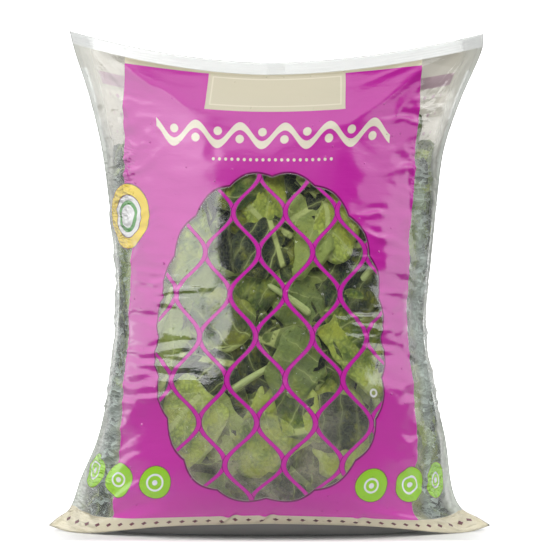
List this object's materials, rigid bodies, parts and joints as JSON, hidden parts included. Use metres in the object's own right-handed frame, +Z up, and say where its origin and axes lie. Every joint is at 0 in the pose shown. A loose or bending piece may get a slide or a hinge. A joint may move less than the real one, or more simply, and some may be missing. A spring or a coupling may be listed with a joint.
{
  "type": "bag of chopped collard greens",
  "caption": "Filled, heat-sealed pillow bag of printed clear film holding chopped collard green leaves, standing on its folded bottom.",
  "frame": {"origin": "on the floor under the middle of the bag", "axes": "+Z up, the printed front faces -Y, +X to the right seen from the front"},
  "size_m": [0.3104, 0.1498, 0.352],
  "materials": {
    "film": "glossy printed film, clear where it is not printed",
    "leaf": "waxy fresh leaf with pale veins",
    "stalk": "pale fresh leaf stalk"
  },
  "bodies": {
    "root": {"bag_film": "film", "chopped_leaves": "leaf", "leaf_piece_01": "leaf", "leaf_piece_02": "leaf", "leaf_piece_03": "leaf", "leaf_piece_04": "leaf", "leaf_piece_05": "leaf", "leaf_piece_06": "leaf", "leaf_piece_07": "leaf", "leaf_piece_08": "leaf", "leaf_piece_09": "leaf", "leaf_piece_10": "leaf", "stalk_piece_01": "stalk", "stalk_piece_02": "stalk", "stalk_piece_03": "stalk", "stalk_piece_04": "stalk", "stalk_piece_05": "stalk", "stalk_piece_06": "stalk"}
  },
  "joints": []
}
